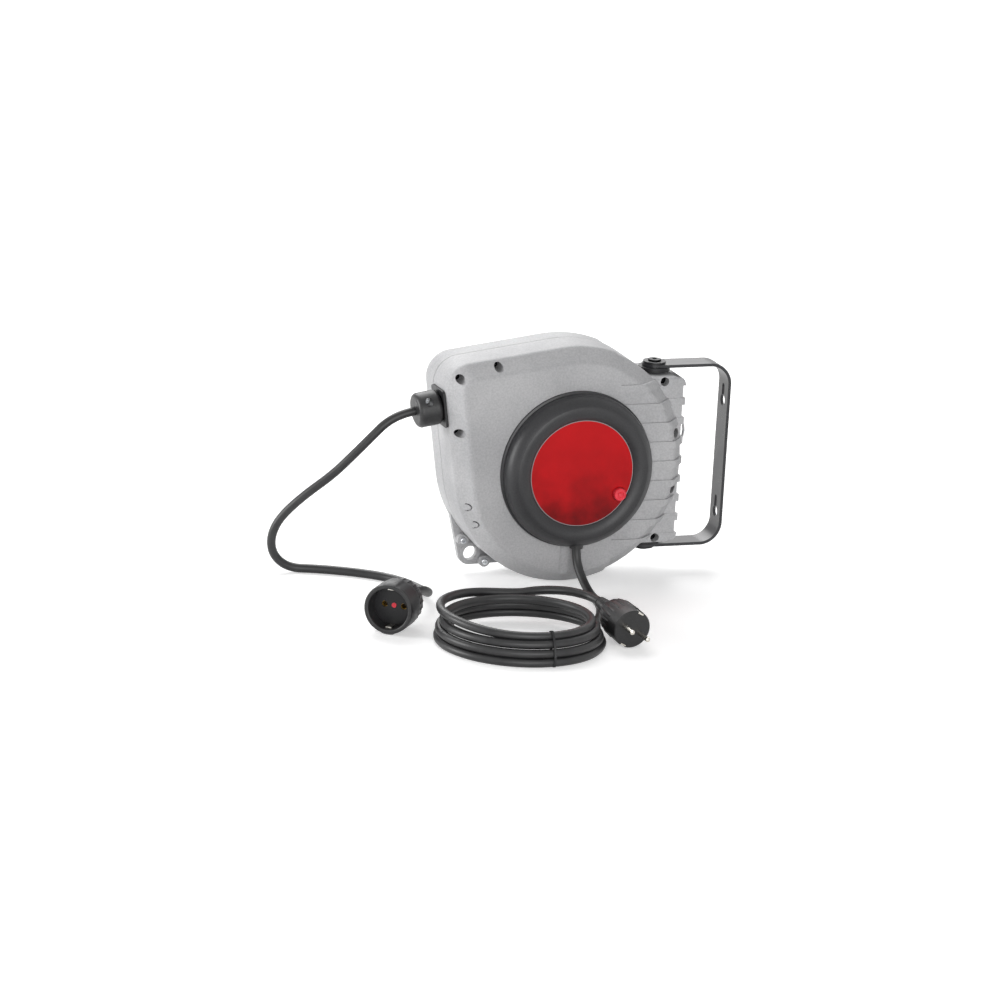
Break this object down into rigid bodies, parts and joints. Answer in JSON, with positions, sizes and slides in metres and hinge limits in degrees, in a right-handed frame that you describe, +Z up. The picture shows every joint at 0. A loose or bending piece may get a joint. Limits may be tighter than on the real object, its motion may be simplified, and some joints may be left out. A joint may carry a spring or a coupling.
{
  "type": "extension cord reel",
  "caption": "Wall-mounted spring-retract extension cord reel with a swivel bracket, an overload reset button, a mains coupling and a coiled supply lead with its plug.",
  "frame": {"origin": "centre of the bracket's wall face, on the strip's centre line", "axes": "+X into the wall, square to the wall face; +Z up; -Y is the front of the reel, and the drum turns about an axis parallel to Y"},
  "size_m": [0.449, 0.3512, 0.234],
  "materials": {
    "grey_case": "fine moulded grain",
    "black_steel": "satin powder coat",
    "zinc_steel": "bright zinc plate",
    "black_plastic": "satin moulded",
    "black_screws": "black oxide",
    "black_cover": "satin moulded",
    "red_disc": "smooth",
    "red_button": "smooth",
    "rubber": "cable sheath",
    "plug_rubber": "moulded",
    "stopper_rubber": "moulded",
    "brass": "turned",
    "nickel_brass": "nickel plate",
    "drum_plastic": "moulded",
    "bush_bronze": "sintered",
    "spring_steel": "blued",
    "roller_plastic": "moulded"
  },
  "bodies": {
    "bracket": {"wall_bracket": "black_steel", "pivot_bolts": "black_screws", "pivot_cap_washers": "black_plastic", "pivot_spacer_washers": "black_plastic"},
    "drum": {"drum_front_flange": "drum_plastic", "drum_rear_flange": "drum_plastic", "drum_hub": "drum_plastic", "drum_bushes": "bush_bronze", "wound_cord": "rubber", "spring_case": "drum_plastic", "spring_case_lid": "drum_plastic", "main_spring": "spring_steel", "ratchet_ring": "drum_plastic", "slip_ring_carrier": "black_plastic", "slip_rings": "brass"},
    "pawl": {"pawl": "zinc_steel"},
    "button": {"reset_button": "red_button"},
    "upper_roller": {"upper_roller": "roller_plastic"},
    "lower_roller": {"lower_roller": "roller_plastic"},
    "case": {"anchor_eye": "grey_case", "anchor_eye_screws": "zinc_steel", "brush_holder": "black_plastic", "brushes": "brass", "case_screws": "black_screws", "coil_tie": "black_plastic", "coupling_body": "plug_rubber", "coupling_centre_plug": "red_button", "coupling_contacts": "brass", "coupling_earth_clips": "nickel_brass", "coupling_insert": "black_plastic", "coupling_strain_relief": "plug_rubber", "cover_disc": "red_disc", "cutout_switch": "black_plastic", "drum_shaft": "zinc_steel", "front_shell": "grey_case", "inner_cord": "rubber", "outlet_mouth": "black_plastic", "output_cord": "rubber", "pawl_pin": "zinc_steel", "plug_body": "plug_rubber", "plug_earth_strips": "nickel_brass", "plug_pins": "nickel_brass", "plug_strain_relief": "plug_rubber", "rear_shell": "grey_case", "ring_cover": "black_cover", "roller_pins": "zinc_steel", "shaft_bridge": "zinc_steel", "shaft_nut": "zinc_steel", "stopper_front_half": "stopper_rubber", "stopper_rear_half": "stopper_rubber", "stopper_screws": "zinc_steel", "supply_coil": "rubber", "supply_cord_drop": "rubber", "supply_cord_tail": "rubber", "supply_gland": "rubber"}
  },
  "joints": [
    {"name": "case_swivel", "type": "hinge", "parent": "bracket", "child": "case", "pos_m": [-0.077, 0, 0], "axis": [0, 0, 1], "range_deg": [-90, 90]},
    {"name": "drum_spin", "type": "hinge", "parent": "case", "child": "drum", "pos_m": [-0.169, 0, 0], "axis": [0, -1, 0], "continuous": true},
    {"name": "pawl_rock", "type": "hinge", "parent": "case", "child": "pawl", "pos_m": [-0.21518, -0.0356, -0.0591], "axis": [0, -1, 0], "range_deg": [-18, 0]},
    {"name": "reset_press", "type": "slide", "parent": "case", "child": "button", "axis": [0, 1, 0], "range_m": [0, 0.0025], "stiffness_N_per_m": 400},
    {"name": "upper_roller_spin", "type": "hinge", "parent": "case", "child": "upper_roller", "pos_m": [-0.2861, -0.008, 0.06966], "axis": [0, 1, 0], "continuous": true},
    {"name": "lower_roller_spin", "type": "hinge", "parent": "case", "child": "lower_roller", "pos_m": [-0.28292, -0.008, 0.05063], "axis": [0, 1, 0], "continuous": true}
  ]
}
